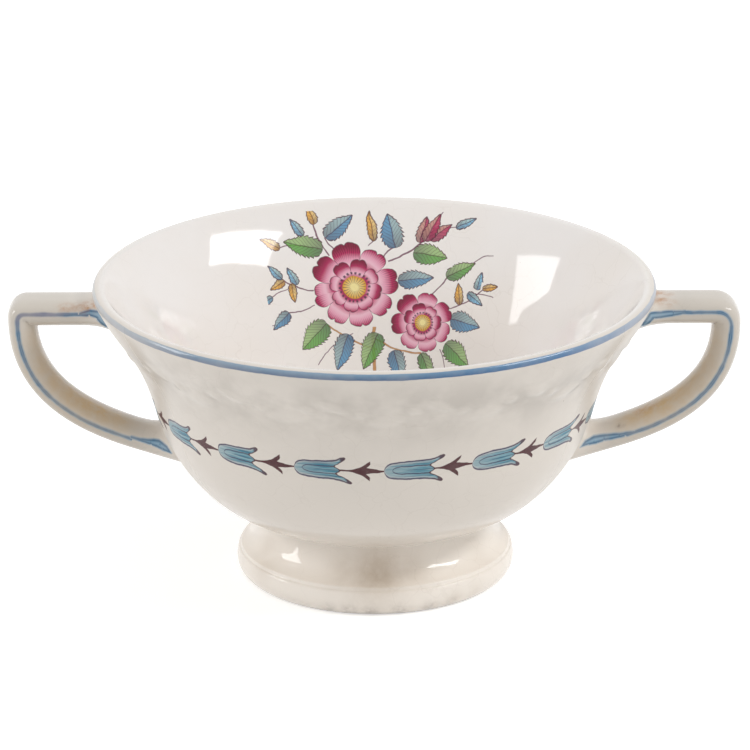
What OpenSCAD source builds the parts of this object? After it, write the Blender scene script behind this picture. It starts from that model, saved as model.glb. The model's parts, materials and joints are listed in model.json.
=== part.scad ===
// Two-handled cream soup bowl on a spread foot, cast and fired as one piece of glazed earthenware.
// Millimetres. The origin is the centre of the foot's resting ring, +Z is up, and the handles lie along X.

/* [Rim] */
// Diameter across the lip
rim_d = 121; // [108:1:140]
// Height from the table to the top of the lip
bowl_h = 66; // [60:1:76]
// Thickness of the wall at the lip, which is a full round
lip_t = 3; // [2.4:0.1:4]
// Lean of the wall under the lip, in degrees from upright
lip_lean = 26.4; // [20:0.2:32]
// Lean of the inside under the lip, in degrees from upright
inside_lean = 38; // [30:0.5:42]

/* [Wall] */
// Diameter at the waist, where the flared wall turns into the belly
waist_d = 94.8; // [84:0.2:100]
// Height of the waist above the table
waist_z = 38; // [33:0.5:42]
// Lean of the wall at the waist, in degrees from upright
waist_lean = 14.2; // [8:0.2:20]
// Thickness of the wall at the waist
waist_t = 3.7; // [2.8:0.1:5]
// Lean of the inside at the waist, in degrees from upright
inside_waist_lean = 18; // [12:0.5:24]
// Thickness of the bowl's floor at its middle
floor_t = 4.9; // [3.5:0.1:7]

/* [Foot] */
// Diameter of the neck between bowl and foot
neck_d = 48.4; // [42:0.2:52]
// Height of the neck above the table
neck_z = 13.9; // [12:0.1:16]
// Largest diameter of the foot's band
foot_d = 60.4; // [56:0.2:68]
// Height of the foot's band
foot_band_h = 5.6; // [4.5:0.1:7]
// Outer diameter of the ring that rests on the table
rest_d = 56.4; // [50:0.2:56.6]
// Width of the resting ring
rest_w = 2.4; // [1.6:0.1:3.4]
// Thickness of the foot's spreading wall
foot_t = 5; // [4:0.1:6]

/* [Handles] */
// How far a handle's edge line stands out past the lip
handle_reach = 16; // [12:0.5:22]
// Depth of the handle's edge line below the top of the lip
handle_drop = 5.9; // [5:0.1:9]
// Width of the strap, from front to back
strap_w = 11; // [8:0.2:14]
// Rise of the strap's outer face above its edge line
strap_crown = 2.3; // [1.5:0.1:3]
// Depth of the strap's inner face below its edge line, at the top
strap_belly = 3.9; // [2.8:0.1:4.8]
// The same depth at the lower end of the strap
strap_belly_low = 2.7; // [2:0.1:3.8]
// Rise of the strap's outer face at its lower end
strap_crown_low = 2.9; // [1.5:0.1:3.4]
// Height at which the strap's edge line reaches the wall again
handle_foot_z = 29.3; // [26:0.2:33]
// Corner radius of the left handle's edge line
corner_left = 1.6; // [1:0.1:4]
// Corner radius of the right handle's edge line
corner_right = 3; // [1:0.1:4]
// Length of the fillet that spreads the left handle's bar over the wall
bar_root_left = 4; // [3:0.2:7]
// Length of the fillet that spreads the right handle's bar over the wall
bar_root_right = 5.8; // [3:0.2:7]
// Length of the fillets that spread the handles' lower ends over the wall
root_reach = 7.5; // [5:0.5:9]
// How far the upper fillet runs down the wall from the edge line
root_drop = 9; // [7:0.5:12]
// How far the upper fillet runs up the wall from the edge line
root_rise = 2.6; // [2:0.1:3.2]
// How far the lower fillet runs up the wall from the edge line
low_root_up = 6.3; // [4:0.1:7]
// How far the lower fillet runs down the wall from the edge line
low_root_down = 4.1; // [3:0.1:6]
// Share by which a handle widens where it meets the wall
root_spread = 1.35; // [1.1:0.05:1.6]

/* [Moulded relief] */
// Number of leaf pairs that fit round the bowl, those left out beside the handles included
sprays = 16; // [12:1:20]
// Height of the middle of the relief above the table
relief_z = 55.4; // [54:0.2:57]
// Height of the leaves above the wall
relief_h = 0.45; // [0.3:0.05:0.8]
// Length of the larger leaf of a pair
leaf_l = 10; // [7:0.2:11]
// Share of a leaf's length that its width takes
leaf_plump = 0.46; // [0.3:0.02:0.5]
// Diameter of a berry
berry_d = 2.8; // [2:0.1:3.4]

/* [Hidden] */

lip_r = lip_t / 2;
LIP_STEPS = 10;
WALL_STEPS = 12;
BELLY_STEPS = 12;
INSIDE_STEPS = 18;
FOOT_STEPS = 7;
TURN_FN = 96;
root_sink = 0.8;
RING_POINTS = 24;
CURVE_STEPS = 14;
COVE_STEPS = 4;
ROOT_STEPS = 6;
CORNER_STEPS = 4;
LEAF_STEPS = 6;
leaf_sink = 0.3;

function bezier(p, n) = [for (i = [0:n]) let (t = i / n, s = 1 - t)
    s * s * s * p[0] + 3 * s * s * t * p[1] + 3 * s * t * t * p[2] + t * t * t * p[3]];
function bend(p, n) = [for (i = [0:n]) let (t = i / n, s = 1 - t)
    s * s * p[0] + 2 * s * t * p[1] + t * t * p[2]];
function tail(list) = [for (i = [1:len(list) - 1]) list[i]];
function heading(a) = [cos(a), sin(a)];
function between(a, b, t) = a + (b - a) * t;

// Profile of the body, as [radius, height]. The wall's curve goes down from the lip to the waist.
lip_c = [rim_d / 2 - lip_r, bowl_h - lip_r];
wall_up = [sin(lip_lean), cos(lip_lean)];
waist_up = [sin(waist_lean), cos(waist_lean)];
wall_top = lip_c + lip_r * heading(-lip_lean);
waist_p = [waist_d / 2, waist_z];
wall_chord = norm(wall_top - waist_p);
wall_curve = bezier([wall_top, wall_top - wall_up * wall_chord * 0.38,
    waist_p + waist_up * wall_chord * 0.54, waist_p], WALL_STEPS);
neck_p = [neck_d / 2, neck_z];
neck_lean = 14.6;
belly_chord = norm(waist_p - neck_p);
belly_curve = bezier([waist_p, waist_p - waist_up * belly_chord * 0.12,
    neck_p + heading(neck_lean) * belly_chord * 0.518, neck_p], BELLY_STEPS);
lip_curve = [for (i = [0:LIP_STEPS])
    lip_c + lip_r * heading(between(180 - inside_lean, -lip_lean, i / LIP_STEPS))];

// The foot's hollow shoulder runs from the neck to a fine edge, and a small cove joins it to the band.
foot_r = foot_d / 2;
shoulder_p = [foot_r - 1.1, foot_band_h + 0.9];
band_p = [foot_r - 0.45, foot_band_h];
foot_curve = bezier([neck_p, neck_p + [0.4, -3.4], shoulder_p + [-2.6, 0.9], shoulder_p], FOOT_STEPS);
cove_curve = bezier([shoulder_p, shoulder_p + [0.45, -0.1], band_p + [-0.6, 0], band_p], COVE_STEPS);
band_curve = bezier([band_p, [foot_r + 0.25, foot_band_h - 2],
    [foot_r + 0.35, foot_band_h * 0.22], [rest_d / 2, 0]], FOOT_STEPS);

// The inside flares a little more than the outside, then turns into a round bottom.
floor_z = neck_z + 4;
inside_up = [sin(inside_lean), cos(inside_lean)];
inside_waist_up = [sin(inside_waist_lean), cos(inside_waist_lean)];
inside_top = lip_c - lip_r * heading(-inside_lean);
inside_waist = waist_p - waist_t * heading(-inside_waist_lean);
inside_chord = norm(inside_top - inside_waist);
inside_wall = bezier([inside_top, inside_top - inside_up * inside_chord * 0.35,
    inside_waist + inside_waist_up * inside_chord * 0.35, inside_waist], WALL_STEPS);
inside_floor = bezier([inside_waist, inside_waist - inside_waist_up * (waist_z - floor_z) * 0.9,
    [inside_waist.x * 0.7, floor_z], [0, floor_z]], INSIDE_STEPS);

// The recess under the foot has the foot's own slope, one wall thickness further in.
recess_top = floor_z - floor_t;
recess_curve = bezier([[rest_d / 2 - rest_w, 0], [rest_d / 2 - rest_w - 0.6, foot_band_h],
    [neck_d / 2 - foot_t, foot_band_h], [neck_d / 2 - foot_t - 1.6, recess_top - 1.5]], FOOT_STEPS);
recess_roof = bend([[neck_d / 2 - foot_t - 1.6, recess_top - 1.5],
    [neck_d / 2 - foot_t - 2.4, recess_top], [0, recess_top]], FOOT_STEPS);

// Radius of the outer wall at a height, for what stands on it.
outline = concat(wall_curve, tail(belly_curve));
wall_table = [for (i = [len(outline) - 1:-1:0]) [outline[i].y, outline[i].x]];
function wall_r(z) = lookup(z, wall_table);
function wall_x(y, z, depth) = sqrt(max(pow(wall_r(z) - depth, 2) - y * y, 0.01));
function wall_lean(z) = atan2(wall_r(z + 1) - wall_r(z - 1), 2);

// Leaves and berries of one repeat, as [place along it, height above the middle, turn, share of leaf_l].
LEAVES = [[0.12, -2.2, 9, 1], [0.6, 1.4, -27, 0.8]];
BERRIES = [[0.36, 0.4], [0.87, -0.6]];
BARE_ANGLE = 14;

module outer_body() {
    rotate_extrude($fn = TURN_FN)
        polygon(concat([[0, bowl_h], [lip_c.x, bowl_h]], [for (p = lip_curve) if (p.x > lip_c.x) p],
            tail(wall_curve), tail(belly_curve), tail(foot_curve), tail(cove_curve), tail(band_curve),
            [[0, 0]]));
}

module inside() {
    above = 5;
    rotate_extrude($fn = TURN_FN)
        polygon(concat([[0, bowl_h + above], [lip_c.x, bowl_h + above]],
            [[lip_c.x, bowl_h]], [for (i = [LIP_STEPS:-1:0]) if (lip_curve[i].x < lip_c.x) lip_curve[i]],
            tail(inside_wall), tail(inside_floor)));
}

module recess() {
    below = 5;
    rotate_extrude($fn = TURN_FN)
        polygon(concat([[0, -below], [rest_d / 2 - rest_w, -below]], recess_curve, tail(recess_roof)));
}

// One ring of the strap's section, as [across, outwards]: a squarish crown and a rounder inner side.
function section(half, crown, belly) = [for (i = [0:RING_POINTS - 1])
    let (a = 360 * i / RING_POINTS, c = cos(a), s = sin(a))
    s >= 0 ? [half * sign(c) * pow(abs(c), 2 / 3), crown * pow(s, 2 / 3)] : [half * c, belly * s]];

// Places a section on the edge line at p, with the loop's outward direction at angle a in the XZ plane.
// It changes evenly from the strap's upper section at t = 0 to its lower one at t = 1.
function ring(p, a, t) = [for (q = section(strap_w / 2, between(strap_crown, strap_crown_low, t),
        between(strap_belly, strap_belly_low, t)))
    [p.x + q.y * cos(a), q.x, p.y + q.y * sin(a)]];

// The strap's edge line: along the bar, round the corner, then one long curve back to the wall.
edge_x = rim_d / 2 + handle_reach;
edge_z = bowl_h - handle_drop;
low_p = [wall_r(handle_foot_z), handle_foot_z];
low_lean = 13.4;
function low_curve(corner) = let (start = [edge_x, edge_z - corner], chord = norm(start - low_p))
    [start, start - [0, chord * 0.44], low_p + heading(low_lean) * chord * 0.36, low_p];
function curve_at(p, t) = let (s = 1 - t)
    s * s * s * p[0] + 3 * s * s * t * p[1] + 3 * s * t * t * p[2] + t * t * t * p[3];
function curve_way(p, t) = let (s = 1 - t)
    s * s * (p[1] - p[0]) + 2 * s * t * (p[2] - p[1]) + t * t * (p[3] - p[2]);
// The curve stops one root length short of the wall.
function low_end(corner) = 1 - 1.05 * root_reach / norm([edge_x, edge_z] - low_p);

// Each line of a root is a bend that leaves the strap straight and arrives lying on the wall.
function root_top(reach) = let (strap = ring([wall_r(edge_z) + reach, edge_z], 90, 0),
        spread = section(strap_w / 2 * root_spread, root_rise, root_drop))
    [for (k = [0:ROOT_STEPS]) [for (i = [0:RING_POINTS - 1])
        let (b = strap[i], w = spread[i], z = edge_z + w.y, t = k / ROOT_STEPS,
            c = [wall_x(b.y, b.z, 0), b.y, b.z], e = [wall_x(w.x, z, root_sink), w.x, z])
        pow(1 - t, 2) * e + 2 * t * (1 - t) * c + t * t * b]];

function low_hit(b, slope, x, tries) = tries == 0 ? [x, b.y, b.z + slope * (x - b.x)]
    : low_hit(b, slope, wall_x(b.y, b.z + slope * (x - b.x), 0), tries - 1);
function root_low(corner) = let (p = low_curve(corner), t1 = low_end(corner), way = curve_way(p, t1),
        a = atan2(way.y, way.x) + 90, strap = ring(curve_at(p, t1), a, t1), slope = way.y / way.x,
        spread = section(strap_w / 2 * root_spread, low_root_down, low_root_up))
    [for (k = [1:ROOT_STEPS]) [for (i = [0:RING_POINTS - 1])
        let (b = strap[i], w = spread[i], z = handle_foot_z - w.y, t = k / ROOT_STEPS,
            c = low_hit(b, slope, low_p.x, 4), e = [wall_x(w.x, z, root_sink), w.x, z])
        pow(1 - t, 2) * b + 2 * t * (1 - t) * c + t * t * e]];

function strap_rings(corner, bar_root) = let (p = low_curve(corner), t1 = low_end(corner))
    concat(root_top(bar_root),
        [for (k = [0:CORNER_STEPS]) let (a = 90 - 90 * k / CORNER_STEPS)
            ring([edge_x - corner, edge_z - corner] + corner * heading(a), a, 0)],
        [for (k = [1:CURVE_STEPS]) let (t = t1 * k / CURVE_STEPS, way = curve_way(p, t))
            ring(curve_at(p, t), atan2(way.y, way.x) + 90, t)],
        root_low(corner));

function sum_of(ring, k, i = 0) = i == len(ring) ? 0 : ring[i][k] + sum_of(ring, k, i + 1);

// Closes a row of rings into one solid, with a fan on each end ring.
module skin(rings) {
    n = len(rings[0]);
    m = len(rings);
    ends = [rings[0], rings[m - 1]];
    points = concat([for (r = rings) each r], [for (e = ends) [for (k = [0:2]) sum_of(e, k) / n]]);
    sides = [for (j = [0:m - 2]) for (i = [0:n - 1]) let (a = j * n + i, b = j * n + (i + 1) % n)
        each [[a, b + n, b], [a, a + n, b + n]]];
    first = [for (i = [0:n - 1]) [i, (i + 1) % n, m * n]];
    last = [for (i = [0:n - 1]) [(m - 1) * n + (i + 1) % n, (m - 1) * n + i, m * n + 1]];
    polyhedron(points, concat(sides, first, last));
}

module handle(corner, bar_root) {
    skin(strap_rings(corner, bar_root));
}

// A leaf is a low ridge over an almond outline. Its edges run on under the wall, where its back is flat.
module leaf(length) {
    ts = [for (k = [1:LEAF_STEPS - 1]) 2 * k / LEAF_STEPS - 1];
    half = length * leaf_plump / 2 * (relief_h + leaf_sink) / relief_h;
    margin = [for (t = ts) [t * length / 2, half * (1 - t * t), -leaf_sink]];
    ridge = [for (t = ts) [t * length / 2, 0, relief_h * (1 - t * t * t * t)]];
    points = concat([[-length / 2, 0, -leaf_sink], [length / 2, 0, -leaf_sink]],
        margin, ridge, [for (p = margin) [p.x, -p.y, p.z]]);
    m = len(ts);
    rows = [for (row = [0:2]) [2 + row * m, 2 + (row + 1) % 3 * m]];
    strips = [for (r = rows) for (k = [0:m - 2]) let (a = r[0] + k, b = r[1] + k)
        each [[a, a + 1, b], [b, a + 1, b + 1]]];
    tips = [for (r = rows) each [[0, r[0], r[1]], [1, r[1] + m - 1, r[0] + m - 1]]];
    polyhedron(points, concat(strips, tips));
}

// Stands its children on the outer wall at an angle and a height, with their own Z along the wall's normal.
module on_wall(angle, z) {
    rotate([0, 0, angle])
        translate([wall_r(z), 0, z])
            rotate([0, 90 + wall_lean(z), 0])
                rotate([0, 0, 90])
                    children();
}

// The garland runs round the outside and stays clear of the handles.
module relief() {
    for (i = [0:sprays - 1]) {
        for (k = LEAVES) let (angle = 360 * (i + k[0]) / sprays)
            if (abs(sin(angle)) > sin(BARE_ANGLE))
                on_wall(angle, relief_z + k[1]) rotate([0, 0, k[2]]) leaf(leaf_l * k[3]);
        for (k = BERRIES) let (angle = 360 * (i + k[0]) / sprays)
            if (abs(sin(angle)) > sin(BARE_ANGLE))
                on_wall(angle, relief_z + k[1])
                    translate([0, 0, relief_h - berry_d / 2]) sphere(d = berry_d);
    }
}

module bowl() {
    color("ivory")
    difference() {
        union() {
            outer_body();
            relief();
            handle(corner_right, bar_root_right);
            mirror([1, 0, 0]) handle(corner_left, bar_root_left);
        }
        inside();
        recess();
    }
}

bowl();
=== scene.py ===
# %% [markdown]
# # A footed cream soup bowl with two strap handles
#
# The real bowl is one piece of glazed earthenware. Body and foot are turned, the two handles are pressed in
# moulds, all are joined with slip, fired, painted and glazed. This lesson makes the surfaces with numpy,
# joins them into one closed skin, and paints that skin with a node material that works in millimetres.
# Painting in the material keeps every brush line sharp from any distance, which a coloured mesh could not
# do.

# %% Load the solid model
import json
import math

import bpy
import numpy as np
from mathutils import Matrix, Vector

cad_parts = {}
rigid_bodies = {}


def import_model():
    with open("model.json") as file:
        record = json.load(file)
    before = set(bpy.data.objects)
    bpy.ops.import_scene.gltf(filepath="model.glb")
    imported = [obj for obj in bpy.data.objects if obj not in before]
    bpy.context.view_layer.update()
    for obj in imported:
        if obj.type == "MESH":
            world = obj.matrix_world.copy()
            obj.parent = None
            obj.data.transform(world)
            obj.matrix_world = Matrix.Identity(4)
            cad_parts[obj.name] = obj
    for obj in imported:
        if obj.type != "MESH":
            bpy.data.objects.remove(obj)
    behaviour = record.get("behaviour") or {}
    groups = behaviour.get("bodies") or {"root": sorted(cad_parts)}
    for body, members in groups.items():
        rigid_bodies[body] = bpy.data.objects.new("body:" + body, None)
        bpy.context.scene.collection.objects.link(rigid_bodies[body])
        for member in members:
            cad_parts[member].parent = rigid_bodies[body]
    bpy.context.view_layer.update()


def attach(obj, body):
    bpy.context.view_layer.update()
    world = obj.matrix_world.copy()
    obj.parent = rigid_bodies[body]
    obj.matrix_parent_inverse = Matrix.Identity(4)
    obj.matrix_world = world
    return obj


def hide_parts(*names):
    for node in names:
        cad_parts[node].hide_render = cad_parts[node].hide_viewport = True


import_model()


def show(name, data):
    """An object at the origin that shows this mesh or camera."""
    thing = bpy.data.objects.new(name, data)
    bpy.context.scene.collection.objects.link(thing)
    return thing


# %% [markdown]
# ## Camera
#
# A product photographer stands back and uses a long lens, so that the rim's ellipse stays calm. The
# distance, the tilt and the focal length were fitted to the rim, the foot and the painted border: one metre
# away, looking down by nearly twenty degrees, with the camera rolled a fifth of a degree. The focal length
# is given for a frame 750 pixels wide.

# %% Camera
FRAME_PIXELS = 750
FOCAL_PIXELS = 4623
DISTANCE = 1.0
TILT, ROLL = math.radians(19.55), math.radians(0.2)
TARGET = Vector((0.0001, 0.0, 0.0442))

camera_data = bpy.data.cameras.new("camera")
camera_data.sensor_width = 36
camera_data.lens = FOCAL_PIXELS / FRAME_PIXELS * camera_data.sensor_width
camera_data.clip_end = 10
camera = show("camera", camera_data)
camera.location = TARGET + DISTANCE * Vector((0, -math.cos(TILT), math.sin(TILT)))
turned = Matrix.Rotation(math.pi / 2 - TILT, 3, "X") @ Matrix.Rotation(-ROLL, 3, "Z")
camera.rotation_euler = turned.to_euler()
bpy.context.scene.camera = camera
print("lens:", round(camera_data.lens, 1), "mm")

# %% [markdown]
# ## The turned body
#
# A profile is turned round the axis. It runs from the middle of the inside, up the wall, over the round
# lip, down the outside, round the foot and back to the middle of the recess underneath. Each stretch is a
# Bezier curve or an arc, so a few points of control say the whole shape, and the glaze's reflections stay
# smooth.

# %% Curves of the profile, in millimetres
def bezier(points, count):
    """Points of a Bezier curve: every control point weighed by its Bernstein polynomial of t, from 0 to 1."""
    points = np.array(points, float)
    t = np.linspace(0, 1, count)[:, None]
    degree = len(points) - 1
    weights = [math.comb(degree, k) * t**k * (1 - t) ** (degree - k) for k in range(degree + 1)]
    return sum(weight * point for weight, point in zip(weights, points))


def heading(degrees):
    """Unit vector that makes this angle with the first axis."""
    return np.array([math.cos(math.radians(degrees)), math.sin(math.radians(degrees))])


def flared(top, top_lean, pull, bottom, bottom_lean, push, count):
    """A flared wall: a cubic that leaves the lip and reaches the waist along their leans from upright."""
    chord = np.linalg.norm(top - bottom)
    return bezier([top, top - heading(90 - top_lean) * chord * pull,
        bottom + heading(90 - bottom_lean) * chord * push, bottom], count)


RIM_R, HEIGHT, LIP_R, LIP_LEAN, INSIDE_LEAN = 60.5, 66.0, 1.5, 26.4, 38
WAIST, WAIST_LEAN, WAIST_WALL, INSIDE_WAIST_LEAN = np.array([47.4, 38.0]), 14.2, 3.7, 18
NECK, NECK_SLOPE, FLOOR_Z, RECESS_R, RECESS_Z = np.array([24.2, 13.9]), 14.6, 17.9, 17.6, 13.0
FOOT_R, BAND_H, REST_R, REST_W = 30.2, 5.6, 28.2, 2.4
# how far the curves' middle control points stand off, as shares of the stretch
BELLY_PULL, BELLY_PUSH, INSIDE_PULL = 0.12, 0.518, 0.9

lip_centre = np.array([RIM_R - LIP_R, HEIGHT - LIP_R])
inner_top = lip_centre - LIP_R * heading(-INSIDE_LEAN)
outer_top = lip_centre + LIP_R * heading(-LIP_LEAN)
inner_waist = WAIST - WAIST_WALL * heading(-INSIDE_WAIST_LEAN)
below_waist = -heading(90 - WAIST_LEAN) * np.linalg.norm(WAIST - NECK) * BELLY_PULL
over_neck = heading(NECK_SLOPE) * np.linalg.norm(WAIST - NECK) * BELLY_PUSH
below_inner_waist = -heading(90 - INSIDE_WAIST_LEAN) * (WAIST[1] - FLOOR_Z) * INSIDE_PULL
shoulder = np.array([FOOT_R - 1.1, BAND_H + 0.9])
band_top = np.array([FOOT_R - 0.45, BAND_H])
rest_inner = np.array([REST_R - REST_W, 0])
recess_edge = np.array([RECESS_R, RECESS_Z - 1.5])

# %% Profile from the inside's middle to the recess's middle
inside_floor = bezier([[0, FLOOR_Z], [inner_waist[0] * 0.7, FLOOR_Z], inner_waist + below_inner_waist,
    inner_waist], 26)
inside_wall = flared(inner_top, INSIDE_LEAN, 0.35, inner_waist, INSIDE_WAIST_LEAN, 0.35, 38)[::-1]
turn = np.radians(np.linspace(180 - INSIDE_LEAN, -LIP_LEAN, 13))
lip = lip_centre + LIP_R * np.stack([np.cos(turn), np.sin(turn)], axis=1)
outside_wall = flared(outer_top, LIP_LEAN, 0.38, WAIST, WAIST_LEAN, 0.54, 50)
belly = bezier([WAIST, WAIST + below_waist, NECK + over_neck, NECK], 23)
flare = bezier([NECK, NECK + [0.4, -3.4], shoulder + [-2.6, 0.9], shoulder], 15)
cove = bezier([shoulder, shoulder + [0.45, -0.1], band_top + [-0.6, 0], band_top], 9)
band = bezier([band_top, [FOOT_R + 0.25, BAND_H - 2], [FOOT_R + 0.35, BAND_H * 0.22], [REST_R, 0]], 15)
recess = bezier([rest_inner, rest_inner + [-0.6, BAND_H], [RECESS_R + 1.6, BAND_H], recess_edge], 11)
recess_roof = bezier([recess_edge, [RECESS_R - 0.8, RECESS_Z], [0, RECESS_Z]], 6)

profile = np.concatenate([inside_floor[1:], inside_wall[1:], lip[1:], outside_wall[1:], belly[1:], flare[1:],
    cove[1:], band[1:], recess, recess_roof[1:-1]])
print("profile:", len(profile), "points, widest", profile[:, 0].max().round(2), "mm")

# %% [markdown]
# ## The moulded garland
#
# Under the lip runs a garland of leaf pairs and berries, so shallow and so full of glaze that it only shows
# where a light slides over it. It could be a bump in the material, but as a true shape it also shows in the
# exported mesh, so the wall's points are moved outwards by the height of the leaf they stand on.

# %% Height of the garland over the wall
REPEATS, GARLAND_Z, LEAF_RISE, LEAF_LONG, LEAF_PLUMP, BERRY_R = 16, 55.4, 0.28, 10.0, 0.46, 1.4
WALL_LEAN, BARE = math.radians(22), math.radians(14)
# place in the repeat, lift, lean in degrees, share of the full length
LEAVES = [(0.12, -2.2, 9, 1.0), (0.60, 1.4, -27, 0.8)]
BERRIES = [(0.36, 0.4), (0.87, -0.6)]


def nearest_copy(angle, z, place, lift, radius):
    """Distances along and up the wall, in mm, from the nearest copy of a thing that stands once in each
    repeat. The whole part of the phase says which copy it is, and copies beside the handles are left out."""
    phase = angle / (2 * np.pi) * REPEATS - place
    copy = np.round(phase)
    bare = np.abs(np.sin((copy + place) * 2 * np.pi / REPEATS)) < math.sin(BARE)
    along = (phase - copy) * 2 * np.pi / REPEATS * radius
    return along, (z - GARLAND_Z - lift) / math.cos(WALL_LEAN), ~bare


def garland(angle, z, radius):
    """Height of the relief: a leaf is a ridge that falls softly to an almond edge, a berry is a low dome."""
    height = np.zeros(np.broadcast(angle, z).shape)
    for place, lift, lean, share in LEAVES:
        along, up, there = nearest_copy(angle, z, place, lift, radius)
        c, s = heading(lean)
        a = (along * c + up * s) / (LEAF_LONG * share / 2)
        b = (up * c - along * s) / (LEAF_LONG * share * LEAF_PLUMP / 2)
        slope = np.clip(1 - np.sqrt(b * b + 0.03) / np.maximum(1 - a * a, 0.05), 0, 1)
        height = np.maximum(height, LEAF_RISE * there * np.clip(1 - a**4, 0, 1) * slope * (1.6 - 0.6 * slope))
    for place, lift in BERRIES:
        along, up, there = nearest_copy(angle, z, place, lift, radius)
        height = np.maximum(height, LEAF_RISE * there * np.clip(1 - (along**2 + up**2) / BERRY_R**2, 0, 1))
    return height


# %% [markdown]
# ## One closed skin from a row of rings
#
# Both the body and the handles are rows of rings. Neighbouring rings are joined by quads and each end is
# closed by a fan on a middle point, so there is no seam and no open pole.

# %% Mesh of a row of rings
MM = 0.001


def closed_skin(name, rings, first, last):
    """Mesh of rings[row, place on the ring, xyz] in mm, closed by the points first and last."""
    rows, count, _ = rings.shape
    index = np.arange(rows * count).reshape(rows, count)
    ahead = np.roll(index, -1, axis=1)
    quads = np.stack([index[:-1], index[1:], ahead[1:], ahead[:-1]], axis=-1).reshape(-1, 4)
    fan_in = np.stack([np.full(count, rows * count), index[0], ahead[0]], axis=-1)
    fan_out = np.stack([np.full(count, rows * count + 1), ahead[-1], index[-1]], axis=-1)
    mesh = bpy.data.meshes.new(name)
    points = np.concatenate([rings.reshape(-1, 3), [first, last]]) * MM
    mesh.from_pydata(points.tolist(), [], quads.tolist() + fan_in.tolist() + fan_out.tolist())
    mesh.shade_smooth()
    return show(name, mesh)


# %% Turn the body
COLUMNS = 400
angle = np.linspace(0, 2 * np.pi, COLUMNS, endpoint=False)[None, :]
radius, height = profile[:, :1], profile[:, 1:]
way = np.gradient(profile, axis=0)
way /= np.linalg.norm(way, axis=1, keepdims=True)
# the lip's last point, since each of the three stretches before it gives its points but the first
lip_end = len(inside_floor) + len(inside_wall) + len(lip) - 4
outside = (np.arange(len(profile)) > lip_end)[:, None]
rise = garland(angle, height, radius) * outside
turned_r = radius - rise * way[:, 1:]
turned_z = height + rise * way[:, :1]
rings = np.stack([turned_r * np.cos(angle), turned_r * np.sin(angle), turned_z + 0 * angle], axis=-1)
bowl = closed_skin("soup_bowl", rings, (0, 0, FLOOR_Z), (0, 0, RECESS_Z))
print("body:", len(bowl.data.polygons), "faces, relief up to", rise.max().round(2), "mm")

# %% [markdown]
# ## Strap handles
#
# A handle is a strap bent into a loop: a level bar, a tight corner, then one long curve back to the belly.
# Its section is squarish outside and round inside. Where it meets the wall the potter smooths slip into the
# joint, so every line of the strap ends as a bend that leaves it straight and arrives lying on the wall.

# %% Section and edge line of the strap
STRAP_HALF, REACH, EDGE_Z, FOOT_Z, LOW_ROOT = 5.5, 76.5, 60.1, 29.3, 7.5
CROWN_TOP, CROWN_LOW, INNER_TOP, INNER_LOW = 2.3, 2.9, 3.9, 2.7
LOOP_PULL, LOOP_PUSH, LOOP_RISE = 0.44, 0.36, 13.4
ROUND, FINE, EVERY = 48, 400, 5
wall_line = np.concatenate([outside_wall, belly[1:]])[::-1]


def wall_x(y, z, depth):
    """How far out the wall's surface is at this y and z, or a surface that lies this deep under it."""
    r = np.interp(z, wall_line[:, 1], wall_line[:, 0]) - depth
    return np.sqrt(np.maximum(r * r - y * y, 0.01))


def section(half, crown, inner):
    """Across and outward coordinates: a superellipse of power 3 on the outer side, half an ellipse inside."""
    a = -2 * np.pi * np.arange(ROUND) / ROUND
    c, s = np.cos(a), np.sin(a)
    across = np.where(s >= 0, np.sign(c) * np.abs(c) ** (2 / 3), c)
    out = np.where(s >= 0, crown * np.abs(s) ** (2 / 3), inner * s)
    return half * across, out


def edge_line(corner, bar_root):
    """Points of the strap's edge line in the XZ plane, and its outward angle and progress at each of them."""
    low = np.array([np.interp(FOOT_Z, wall_line[:, 1], wall_line[:, 0]), FOOT_Z])
    start = np.array([REACH, EDGE_Z - corner])
    chord = np.linalg.norm(start - low)
    curve = bezier([start, start - [0, chord * LOOP_PULL], low + heading(LOOP_RISE) * chord * LOOP_PUSH,
        low], FINE)
    end = int(FINE * (1 - 1.05 * LOW_ROOT / np.linalg.norm([REACH, EDGE_Z] - low)))
    curve = curve[:end:EVERY]
    way = np.gradient(curve, axis=0)
    bar_x = np.linspace(wall_x(0, EDGE_Z, 0) + bar_root, REACH - corner, 12)[:-1]
    bar = np.stack([bar_x, np.full(len(bar_x), EDGE_Z)], axis=1)
    bend = np.linspace(np.pi / 2, 0, 10)
    arc = [REACH - corner, EDGE_Z - corner] + corner * np.stack([np.cos(bend), np.sin(bend)], axis=1)
    line = np.concatenate([bar, arc, curve[1:]])
    leans = (np.arctan2(way[:, 1], way[:, 0]) + np.pi / 2)[1:]
    outward = np.concatenate([np.full(len(bar), np.pi / 2), bend, leans])
    progress = np.concatenate([np.zeros(len(bar) + len(arc)), np.linspace(0, 1, len(curve))[1:]])[:, None]
    return line, outward, progress


# %% Rings of one handle
ROOT_SPREAD, ROOT_UP, ROOT_DOWN, LOW_UP, LOW_DOWN, SINK = 1.35, 2.6, 9.0, 6.3, 4.1, 0.8


def root(end, climb, height, sense, outer, inner):
    """Rings from an end of the strap to its wider print on the wall. Each line is a quadratic bend, whose
    middle control point is where the straight strap, which climbs this much, would meet the wall. Four steps
    find it."""
    across, out = section(STRAP_HALF * ROOT_SPREAD, outer, inner)
    z = height + sense * out
    on_wall = np.stack([wall_x(across, z, SINK), across, z], axis=-1)
    x = np.full(ROUND, wall_x(0, height, 0))
    for _ in range(4):
        x = wall_x(end[:, 1], end[:, 2] + climb * (x - end[:, 0]), 0)
    middle = np.stack([x, end[:, 1], end[:, 2] + climb * (x - end[:, 0])], axis=-1)
    t = np.linspace(0, 1, 13)[:, None, None]
    return (1 - t) ** 2 * end + 2 * t * (1 - t) * middle + t * t * on_wall


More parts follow.
